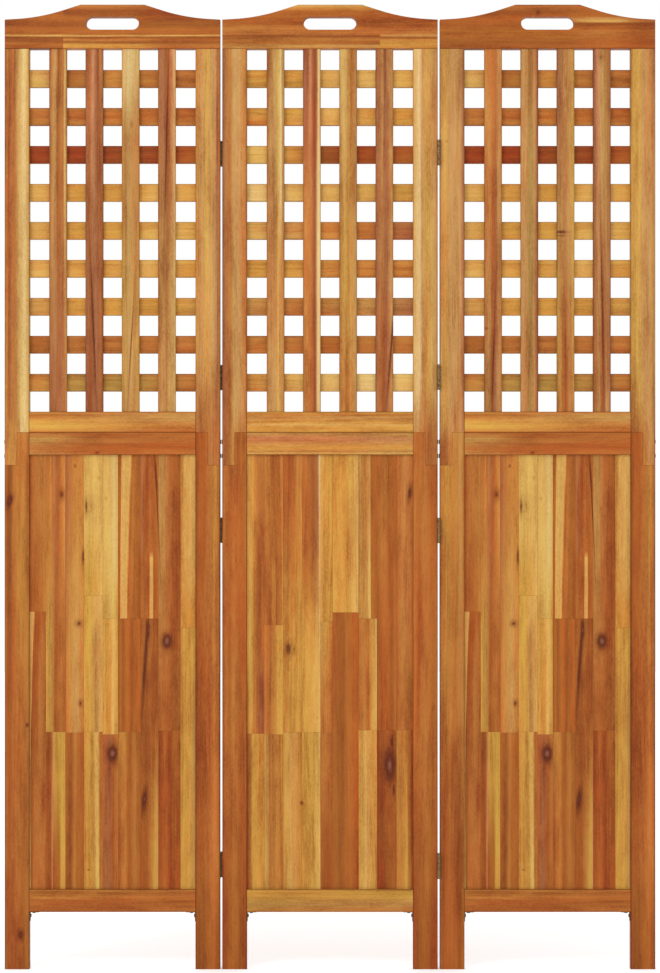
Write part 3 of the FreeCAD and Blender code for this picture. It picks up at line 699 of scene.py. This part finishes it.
# Gloss and relief
ROUGHNESS = 0.47
DARK_GRAIN_ROUGHNESS = 0.16
PORES_ROUGHNESS = 0.12
RINGS_HEIGHT = 0.5
PORES_HEIGHT = -0.8
WOOD_RELIEF = 0.6
SPECULAR_LEVEL = 0.15
BUMP_HEIGHT = 0.00025

# The light adds this much of itself as sheen, and is this strong. The woods' own tones make up for both.
SHEEN = 0.014
LIGHT_STRENGTH = 1.17
DARKEST_SHARE = 0.3

# The upper frame's wood and its slats are a little greyer than the rest
NO_TINT = (1, 1, 1)
GREYER_TINT = (0.95, 1, 1.18)
GREYER_PIECES = ("upper_", "vertical_")


# The sockets of the shared grain
GRAIN_TAKES = {
    "Tone": "Color",
    "Place": "Vector",
    "Pith": "Vector",
    "Mark": "Float",
    "Edge": "Float",
    "End": "Float",
}
GRAIN_GIVES = {"Colour": "Color", "Roughness": "Float", "Height": "Float"}


def wood_tone(name, shade=1, tint=NO_TINT):
    """The wood's own colour, which looks like the named tone under the scene's light."""
    seen = [value * shade * share for value, share in zip(linear(TONES[name]), tint)]
    return (*(max(value - SHEEN, value * DARKEST_SHARE) / LIGHT_STRENGTH for value in seen), 1)


def stops_of(bands, shade=1, tint=NO_TINT):
    """The stops of a tone ramp, from words such as "tan 0 gold 60"."""
    words = bands.split()
    return [(int(place) / 100, wood_tone(tone, shade, tint)) for tone, place in zip(words[::2], words[1::2])]


def growth_rings(graph, place, pith, halo):
    """Rounds about a pith behind the face, which wanders along the trunk and bends round the knots."""
    drift = graph.noise(place, DRIFTS)
    across, deep, along = graph.split(graph.vector_maths("ADD", place, pith))
    across = graph.nudge(across, drift, DRIFT_REACH)
    deep = graph.nudge(deep, drift, DRIFT_REACH)
    radius = graph.length(graph.join(across, deep, 0))
    radius = graph.maths("MULTIPLY_ADD", along, TRUNK_TAPER, radius)
    radius = graph.maths("MULTIPLY_ADD", halo, KNOT_REACH, radius)
    rings = graph.noise(graph.join(radius, 0, 0), (RINGS_TO_THE_METRE, 1, 1), detail=1)
    turn = graph.maths("FRACT", graph.maths("MULTIPLY", radius, RING_LINES_TO_THE_METRE))
    return graph.fade(rings, *RINGS_SHOW), graph.maths("POWER", turn, LATE_WOOD_SHARPNESS)


def grain_darkness(graph, place, tone, rings, late_wood, fibres, pores):
    """One number for how dark the grain is, from about -0.5 to 0.5, and how lively wood of this tone is."""
    brightness = graph.node("ShaderNodeRGBToBW", {"Color": tone}).outputs["Val"]
    lively = graph.fade(brightness, DARK_BRIGHTNESS, PALE_BRIGHTNESS, 1, CALM)
    darkness = graph.nudge(0, rings, RINGS_WEIGHT)
    steady = graph.nudge(0, fibres, FIBRES_STEADY_WEIGHT)
    for pattern in PATTERNS:
        noise = graph.noise(place, pattern.stretch, pattern.detail, pattern.roughness)
        noise = graph.fade(noise, pattern.low, pattern.high)
        darkness = graph.nudge(darkness, noise, pattern.weight)
        if pattern.steady_weight:
            steady = graph.nudge(steady, noise, pattern.steady_weight)
    darkness = graph.nudge(darkness, fibres, FIBRES_WEIGHT)
    darkness = graph.maths("MULTIPLY_ADD", late_wood, LATE_WOOD_WEIGHT, darkness)
    darkness = graph.maths("MULTIPLY_ADD", pores, PORES_WEIGHT, darkness)
    return graph.maths("MULTIPLY_ADD", darkness, lively, steady), lively


def grain_colour(graph, place, tone, darkness, lively):
    """The base tone, redder or yellower here and there, and darker or lighter with the grain."""
    hue = graph.noise(place, HUES, detail=3, roughness=0.55)
    hue = graph.nudge(hue, graph.noise(place, HUE_MOTTLES), HUE_MOTTLES_SHARE)
    colour = graph.tint(graph.maths("MULTIPLY", graph.fade(hue, *RED_SHOWS), lively), tone, RED)
    colour = graph.tint(graph.maths("MULTIPLY", graph.fade(hue, *YELLOW_SHOWS), lively), colour, YELLOW)
    colour = graph.tint(graph.rise(darkness, DEEP_AT), colour, DEEP)
    return graph.tint(graph.rise(darkness, PALE_AT), colour, PALE)


def knotted(graph, colour, mark, halo):
    """Lays the knots and dark streaks over the grain."""
    colour = graph.tint(graph.maths("MULTIPLY", halo, HALO_SHARE), colour, DEEP)
    knot = graph.fade(mark, *KNOT_SHOWS, 0, KNOT_SHARE)
    core = graph.fade(mark, *CORE_SHOWS, 0, CORE_SHARE)
    heart = graph.fade(mark, *HEART_SHOWS, 0, HEART_SHARE)
    colour = graph.mix(knot, colour, wood_tone("dark"))
    colour = graph.tint(core, colour, DEEP)
    return graph.mix(heart, colour, wood_tone("knot_heart"))


def wood_group():
    """The shared grain: it darkens and lightens a base tone, paints shade along the pieces' edges and darkens
    the staves' joints, and gives gloss and relief.
    """
    tree = bpy.data.node_groups.new("wood_grain", "ShaderNodeTree")
    for name, kind in GRAIN_TAKES.items():
        tree.interface.new_socket(name, in_out="INPUT", socket_type=f"NodeSocket{kind}")
    for name, kind in GRAIN_GIVES.items():
        tree.interface.new_socket(name, in_out="OUTPUT", socket_type=f"NodeSocket{kind}")
    graph = Graph(tree)
    given = graph.node("NodeGroupInput").outputs
    place = given["Place"]

    halo = graph.fade(given["Mark"], *HALO_SHOWS)
    rings, late_wood = growth_rings(graph, place, given["Pith"], halo)
    fibres = graph.noise(place, FIBRES)
    pores = graph.fade(graph.noise(place, PORES, detail=1), *PORES_SHOW)
    darkness, lively = grain_darkness(graph, place, given["Tone"], rings, late_wood, fibres, pores)
    colour = grain_colour(graph, place, given["Tone"], darkness, lively)
    colour = knotted(graph, colour, given["Mark"], halo)

    # Painted shade along the edges of the frame and slats, its width wobbling; on the staves the same
    # darkening gives the dark glue lines and end joints.
    edge_shade_wobble = graph.noise(place, CLOUDS.stretch, detail=1)
    edge = graph.maths("MULTIPLY_ADD", edge_shade_wobble, EDGE_WIDTH, given["Edge"])
    colour = graph.tint(graph.fade(edge, *EDGE_SHOWS, 0, EDGE_SHARE), colour, EDGE_SHADE_AND_DARK_JOINTS)
    colour = graph.tint(given["End"], colour, END_GRAIN)

    roughness = graph.maths("MULTIPLY_ADD", darkness, DARK_GRAIN_ROUGHNESS, ROUGHNESS)
    roughness = graph.maths("MULTIPLY_ADD", pores, PORES_ROUGHNESS, roughness)
    height = graph.maths("MULTIPLY_ADD", rings, RINGS_HEIGHT, fibres)
    height = graph.maths("MULTIPLY_ADD", pores, PORES_HEIGHT, height)
    graph.node("NodeGroupOutput", {"Colour": colour, "Roughness": roughness, "Height": height})
    return tree


GRAIN = wood_group()


# Each piece's own wood

WAVES = (22, 10, 2.2)
WAVES_REACH = 0.0055
RAGS_REACH = 0.0038
SHIFTS = (0, 9)
PITH_ASIDE = (-0.05, 0.05)
PITH_BEHIND = (0.02, 0.07)
END_GRAIN_SHOWS = (0.8, 0.95)

# How many times finer than a frame piece's painted edge shade a stave's dark glue lines and end joints are
GLUE_LINE_FINENESS = 12
END_JOINT_FINENESS = 26

# A mark's ragged outline, and how its strength draws it in
RAGS = (380, 1, 140)
RAGS_SHARE = 0.8
STRENGTH_REACH = 2.2
STRENGTH_START = 0.4
NO_MARK = 10
MARK_MARGIN = 2 * MM


def finish_wood(graph, tone, place, pith, mark, edge, end):
    """Joins the shared grain to a surface with the sheen of oiled wood."""
    inputs = {"Tone": tone, "Place": place, "Pith": pith, "Mark": mark, "Edge": edge, "End": end}
    grain = graph.node("ShaderNodeGroup", inputs, node_tree=GRAIN).outputs
    graph.finish({
        "Base Color": grain["Colour"],
        "Roughness": grain["Roughness"],
        "Normal": graph.bump(grain["Height"], WOOD_RELIEF),
        "Specular IOR Level": SPECULAR_LEVEL,
    })


def nearest_edge(graph, place, low, high):
    """How far a place on one axis is from the nearer of two edges."""
    return graph.maths("MINIMUM", graph.maths("SUBTRACT", place, low), graph.maths("SUBTRACT", high, place))


def mark_distance(graph, x, z, marks, foot_x):
    """How far a place is from the nearest mark's middle, counted in the mark's own half sizes."""
    nearest = NO_MARK
    if not marks:
        return nearest
    ragged = graph.maths("MULTIPLY", graph.noise(graph.join(x, 0, z), RAGS, detail=3), RAGS_SHARE)
    for mark in marks:
        up = graph.maths("SUBTRACT", z, mark.z * MM)
        middle = graph.maths("MULTIPLY_ADD", up, mark.slope, foot_x + mark.x * MM)
        aside = graph.maths("DIVIDE", graph.maths("SUBTRACT", x, middle), mark.half_width * MM)
        up = graph.maths("DIVIDE", up, mark.half_height * MM)
        distance = graph.maths("ADD", graph.length(graph.join(aside, up, 0)), ragged)
        distance = graph.maths("ADD", distance, (1 - mark.strength) * STRENGTH_REACH - STRENGTH_START)
        nearest = graph.maths("MINIMUM", distance, nearest)
    return nearest


def marks_within(marks, low, high, foot_x):
    """The marks that lie in a piece's face, or so close beside it that their rims reach it."""
    beside = [mark for mark in marks if low.x - MARK_MARGIN <= foot_x + mark.x * MM <= high.x + MARK_MARGIN]
    return [mark for mark in beside if low.z <= mark.z * MM <= high.z]


def layered_tone(graph, look, share, up, tint):
    """The look's bands across the grain, which other bands take over along the grain."""
    tone = graph.ramp(share, stops_of(look.bands, look.shade, tint))
    for bands, turn in ((look.far, look.turn), (look.last, look.last_turn)):
        if bands:
            over = graph.ramp(share, stops_of(bands, look.shade, tint))
            tone = graph.mix(graph.fade(up, *turn), tone, over)
    return tone


def end_grain(graph, normal, grain_axis):
    """1 on the faces where the grain ends, and 0 on the others."""
    facing = graph.maths("ABSOLUTE", graph.split(normal)[grain_axis])
    return graph.fade(facing, *END_GRAIN_SHOWS)


def wood(name, look, low, high, grain_axis, marks, foot_x, seed, ends_show=False, tint=NO_TINT):
    """The material of one piece of wood that fills a box, with its grain along X or Z."""
    material, graph = blank_material(name)
    dice = random.Random(seed)
    where = graph.node("ShaderNodeTexCoord").outputs
    spot = graph.split(where["Object"])
    across_axis = Z if grain_axis == X else X
    across = graph.maths("SUBTRACT", spot[across_axis], low[across_axis])
    length = graph.maths("SUBTRACT", spot[grain_axis], low[grain_axis])
    width = high[across_axis] - low[across_axis]
    run = high[grain_axis] - low[grain_axis]
    shift = Vector((dice.uniform(*SHIFTS), dice.uniform(*SHIFTS), dice.uniform(*SHIFTS)))
    place = graph.vector_maths("ADD", graph.join(across, spot[Y], length), shift)
    pith_across = dice.uniform(*PITH_ASIDE) - width / 2
    pith = Vector((pith_across, dice.choice((-1, 1)) * dice.uniform(*PITH_BEHIND), 0)) - shift

    up = graph.maths("DIVIDE", length, run)
    share = graph.maths("DIVIDE", across, width)
    share = graph.nudge(share, graph.noise(place, WAVES, detail=3), WAVES_REACH / width)
    ragged = graph.noise(place, FINE_STREAKS.stretch, detail=3, roughness=0.6)
    share = graph.nudge(share, ragged, RAGS_REACH / width)
    if look.lean:
        squeeze = graph.maths("MULTIPLY_ADD", graph.maths("SUBTRACT", 1, up), look.lean, 1)
        share = graph.maths("MULTIPLY", share, squeeze)
    tone = layered_tone(graph, look, share, up, tint)

    mark = mark_distance(graph, spot[X], spot[Z], marks_within(marks, low, high, foot_x), foot_x)
    # Painted shade along the long edges; on the staves also dark glue lines and end joints.
    edge = nearest_edge(graph, across, 0, width)
    if ends_show:
        glue_line = graph.maths("MULTIPLY", edge, GLUE_LINE_FINENESS)
        end_joint = graph.maths("MULTIPLY", nearest_edge(graph, length, 0, run), END_JOINT_FINENESS)
        edge = graph.maths("MINIMUM", glue_line, end_joint)
    end = end_grain(graph, where["Normal"], grain_axis)
    finish_wood(graph, tone, place, pith, mark, edge, end)
    return material


# The cross slats: the share of their pitch that is hole, and how far their grains lie apart

HOLE_SHARE = 0.534
CROSS_SLAT_SHADE = 1.04
CROSS_SLAT_WAVES = (30, 10, 7)
CROSS_SLAT_WAVES_REACH = 0.2
CROSS_SLAT_SHIFT = 1.7
CROSS_SLAT_PITH_ASIDE = (-0.03, 0.03)
CROSS_SLAT_PITH_BEHIND = (0.02, 0.05)

# Rows count in whole numbers, so a place is in a row when the two differ by less than this
SAME_ROW = 0.5


def cross_slat_wood(name, rows, low, high, seed):
    """One material for a lattice's cross slats, whose tones and grain change from slat to slat."""
    material, graph = blank_material(name)
    where = graph.node("ShaderNodeTexCoord").outputs
    x, y, z = graph.split(where["Object"])
    dice = random.Random(seed)
    pitch = (high.z - low.z) / (len(rows) - HOLE_SHARE)
    up = graph.maths("DIVIDE", graph.maths("SUBTRACT", z, low.z), pitch)
    row = graph.maths("FLOOR", up)
    across = graph.maths("MULTIPLY", graph.maths("FRACT", up), pitch)
    length = graph.maths("SUBTRACT", x, low.x)
    row_shift = graph.maths("MULTIPLY", row, CROSS_SLAT_SHIFT)
    shift = graph.join(graph.maths("ADD", row_shift, dice.uniform(*SHIFTS)), row_shift, row_shift)
    place = graph.vector_maths("ADD", graph.join(across, y, length), shift)
    along = graph.maths("DIVIDE", length, high.x - low.x)
    along = graph.nudge(along, graph.noise(place, CROSS_SLAT_WAVES, detail=3), CROSS_SLAT_WAVES_REACH)
    tone = wood_tone("gold")
    for number, bands in enumerate(reversed(rows)):
        slat = graph.ramp(along, stops_of(bands, CROSS_SLAT_SHADE))
        tone = graph.mix(graph.maths("COMPARE", row, number, SAME_ROW), tone, slat)
    pith = (dice.uniform(*CROSS_SLAT_PITH_ASIDE), dice.uniform(*CROSS_SLAT_PITH_BEHIND), 0)
    # Painted shade along the cross slats' long edges.
    edge = nearest_edge(graph, across, 0, pitch * (1 - HOLE_SHARE))
    end = end_grain(graph, where["Normal"], X)
    finish_wood(graph, tone, place, graph.vector_maths("SUBTRACT", pith, shift), NO_MARK, edge, end)
    return material


# Where each wood goes. A board's staves are shaped here again, with a fine bevel along their glue lines.

BOARD_REACH = 7.5 * MM
STAVE_BEVEL = 0.15 * MM
FACES_FRONT = -0.9
STRIP_DECIMALS = 4


def stave_fronts(board):
    """The corners of each stave's front, strip by strip from the left and each strip from the top down."""
    mesh = board.data
    fronts = []
    for polygon in mesh.polygons:
        if polygon.normal.y < FACES_FRONT:
            corners = set(polygon.vertices)
            touching = [front for front in fronts if front & corners]
            fronts = [front for front in fronts if not front & corners]
            fronts.append(corners.union(*touching))
    boxes = []
    for front in fronts:
        places = [mesh.vertices[corner].co for corner in front]
        low = Vector(map(min, zip(*places)))
        high = Vector(map(max, zip(*places)))
        boxes.append((low, high))
    return sorted(boxes, key=lambda box: (round(box[0].x, STRIP_DECIMALS), -box[1].z))


def clamped(value, low, high):
    return min(max(value, low), high)


def shape_stave(shaped, low, high, material_index):
    """Adds a box with bevelled edges to the shape."""
    corners = bmesh.ops.create_cube(shaped, size=1)["verts"]
    bmesh.ops.scale(shaped, vec=high - low, verts=corners)
    bmesh.ops.translate(shaped, vec=(low + high) / 2, verts=corners)
    for face in {face for corner in corners for face in corner.link_faces}:
        face.material_index = material_index
    edges = list({edge for corner in corners for edge in corner.link_edges})
    bmesh.ops.bevel(shaped, geom=edges, offset=STAVE_BEVEL, segments=1, affect="EDGES")


def board_piece(panel):
    """One mesh of a board's staves, each with its own material, in place of the CAD board."""
    node = f"{panel}_panel_board"
    low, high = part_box(node)
    foot_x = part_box(f"{panel}_panel_lower_left_stile")[0].x
    kind = "middle" if panel == "middle" else "side"
    looks = [
        (f"{kind}_strip_{strip}_stave_{number}", look)
        for strip, staves in enumerate(STAVES[panel], start=1)
        for number, look in enumerate(staves, start=1)
    ]
    shaped = bmesh.new()
    mesh = bpy.data.meshes.new(f"{panel}_panel_staves")
    for index, ((seed, look), front) in enumerate(zip(looks, stave_fronts(nodes[node]))):
        stave_low = Vector((front[0].x, low.y, front[0].z))
        stave_high = Vector((front[1].x, high.y, front[1].z))
        shape_stave(shaped, stave_low, stave_high, index)
        seen = [
            Vector((
                clamped(corner.x, low.x + BOARD_REACH, high.x - BOARD_REACH),
                corner.y,
                clamped(corner.z, low.z + BOARD_REACH, high.z - BOARD_REACH),
            ))
            for corner in front
        ]
        name = f"{panel}_{seed}"
        mesh.materials.append(wood(name, look, *seen, Z, MARKS[panel], foot_x, seed, ends_show=True))
    shaped.to_mesh(mesh)
    shaped.free()
    piece = bpy.data.objects.new(f"{panel}_panel_board_staves", mesh)
    bpy.context.scene.collection.objects.link(piece)
    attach(piece, f"{panel}_panel")
    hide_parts(node)


def dress(node, material):
    """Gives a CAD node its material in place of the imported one."""
    for slot in nodes[node].material_slots:
        slot.material = material


def dress_wood(panel):
    """Gives a panel's frame and slats their woods. Pieces that look alike on both sides share their grain."""
    foot_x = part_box(f"{panel}_panel_lower_left_stile")[0].x
    for piece, look in LOOKS[panel].items():
        node = f"{panel}_panel_{piece}"
        low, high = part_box(node)
        grain_axis = X if piece.endswith("rail") else Z
        shared = panel == "right" and look is LEFT_LOOKS[piece]
        seed = f"left_{piece}" if shared else f"{panel}_{piece}"
        tint = GREYER_TINT if piece.startswith(GREYER_PIECES) else NO_TINT
        dress(node, wood(node, look, low, high, grain_axis, MARKS[panel], foot_x, seed, tint=tint))
    node = f"{panel}_panel_cross_slats"
    kind = "middle" if panel == "middle" else "side"
    dress(node, cross_slat_wood(node, CROSS_SLAT_TONES[panel], *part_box(node), f"{kind}_cross_slats"))


# Steel: hinges, brackets and screws, each with its dull and its bright tone and its roughness

RUBBED_STEEL = (176, 166, 150)
HINGE_STEEL = ((86, 62, 38), (144, 114, 74), 0.34)
BRACKET_STEEL = ((46, 34, 24), (84, 62, 42), 0.4)
SCREW_STEEL = ((96, 84, 66), (146, 130, 100), 0.3)
STEELS = {
    "hinge_steel_plated": (HINGE_STEEL, ("_leaves", "_pins")),
    "bracket_steel_plated": (BRACKET_STEEL, ("_corner_brackets",)),
    "screw_steel_plated": (SCREW_STEEL, ("_screws",)),
}
STEEL_CLOUDS = (240, 240, 240)
STEEL_CLOUDS_SHOW = (0.3, 0.7)
STEEL_CLOUDS_ROUGHNESS = 0.14
STEEL_RUBS = (1600, 1600, 500)
STEEL_RUBS_SHOW = (0.55, 0.75)
STEEL_RUBS_SHARE = 0.5
STEEL_RELIEF = 0.25
STEEL_METALLIC = 0.85


def steel(name, dull, bright, roughness):
    """Plated steel, cloudy in its dull parts and rubbed brighter in specks."""
    material, graph = blank_material(name)
    place = graph.node("ShaderNodeTexCoord").outputs["Object"]
    clouds = graph.fade(graph.noise(place, STEEL_CLOUDS, detail=3, roughness=0.6), *STEEL_CLOUDS_SHOW)
    rubs = graph.fade(graph.noise(place, STEEL_RUBS), *STEEL_RUBS_SHOW)
    tone = graph.mix(clouds, linear(dull), linear(bright))
    rubbed = graph.maths("MULTIPLY", rubs, STEEL_RUBS_SHARE)
    graph.finish({
        "Base Color": graph.mix(rubbed, tone, linear(RUBBED_STEEL)),
        "Roughness": graph.maths("MULTIPLY_ADD", clouds, STEEL_CLOUDS_ROUGHNESS, roughness),
        "Normal": graph.bump(rubs, STEEL_RELIEF),
        "Metallic": STEEL_METALLIC,
    })
    return material


def dress_steel():
    for name, (tones, endings) in STEELS.items():
        material = steel(name, *tones)
        for node in nodes:
            if node.endswith(endings):
                dress(node, material)


# The floor, the light and the camera

WHITE = (1, 1, 1, 1)
FLOOR_SIZE = 16
FLOOR_SQUARES = 8
FLOOR_GREY = (0.78, 0.78, 0.78, 1)
FLOOR_PALE_GREY = (0.82, 0.82, 0.82, 1)
FLOOR_CLOUDS = (3, 3, 3)
FLOOR_ROUGHNESS = 0.8
FLOOR_GLOW = 0.35
SKY_STRENGTH = 1.0
KEY_LIGHT_PLACE = Vector((-2.4, -3.4, 3.6))
KEY_LIGHT_AIM = Vector((0, 0, 1))
KEY_LIGHT_SIZE = 1.6
KEY_LIGHT_POWER = 55
CAMERA_DISTANCE = 5.01
CAMERA_HEIGHT = 0.9009
FIELD_HEIGHT = 1.8153
FIELD_DISTANCE = 5.0
SENSOR = 36


def white_floor():
    shaped = bmesh.new()
    bmesh.ops.create_grid(shaped, x_segments=FLOOR_SQUARES, y_segments=FLOOR_SQUARES, size=FLOOR_SIZE / 2)
    mesh = bpy.data.meshes.new("floor")
    shaped.to_mesh(mesh)
    shaped.free()
    floor = bpy.data.objects.new("floor", mesh)
    bpy.context.scene.collection.objects.link(floor)
    material, graph = blank_material("floor_paint")
    place = graph.node("ShaderNodeTexCoord").outputs["Object"]
    graph.finish({
        "Base Color": graph.mix(graph.noise(place, FLOOR_CLOUDS, detail=3), FLOOR_GREY, FLOOR_PALE_GREY),
        "Roughness": FLOOR_ROUGHNESS,
        "Emission Color": WHITE,
        "Emission Strength": FLOOR_GLOW,
    })
    mesh.materials.append(material)


def soft_light():
    """A white sky, and a lamp from the upper left."""
    world = bpy.data.worlds.new("studio")
    world.use_nodes = True
    sky = world.node_tree.nodes["Background"].inputs
    sky["Color"].default_value = WHITE
    sky["Strength"].default_value = SKY_STRENGTH
    bpy.context.scene.world = world
    lamp = bpy.data.lights.new("key", "AREA")
    lamp.size = KEY_LIGHT_SIZE
    lamp.energy = KEY_LIGHT_POWER
    key = bpy.data.objects.new("key", lamp)
    bpy.context.scene.collection.objects.link(key)
    key.location = KEY_LIGHT_PLACE
    key.rotation_euler = (KEY_LIGHT_AIM - KEY_LIGHT_PLACE).to_track_quat("-Z", "Y").to_euler()


def square_on_camera():
    """A camera straight in front of the screen, level, as the photograph was taken."""
    lens = bpy.data.cameras.new("camera")
    lens.sensor_width = SENSOR
    lens.lens = SENSOR * FIELD_DISTANCE / FIELD_HEIGHT
    camera = bpy.data.objects.new("camera", lens)
    bpy.context.scene.collection.objects.link(camera)
    camera.location = (0, -CAMERA_DISTANCE, CAMERA_HEIGHT)
    camera.rotation_euler = (math.pi / 2, 0, 0)
    bpy.context.scene.camera = camera


for panel in PANELS:
    board_piece(panel)
    dress_wood(panel)
dress_steel()
white_floor()
soft_light()
square_on_camera()
bpy.context.scene.view_settings.view_transform = "Standard"
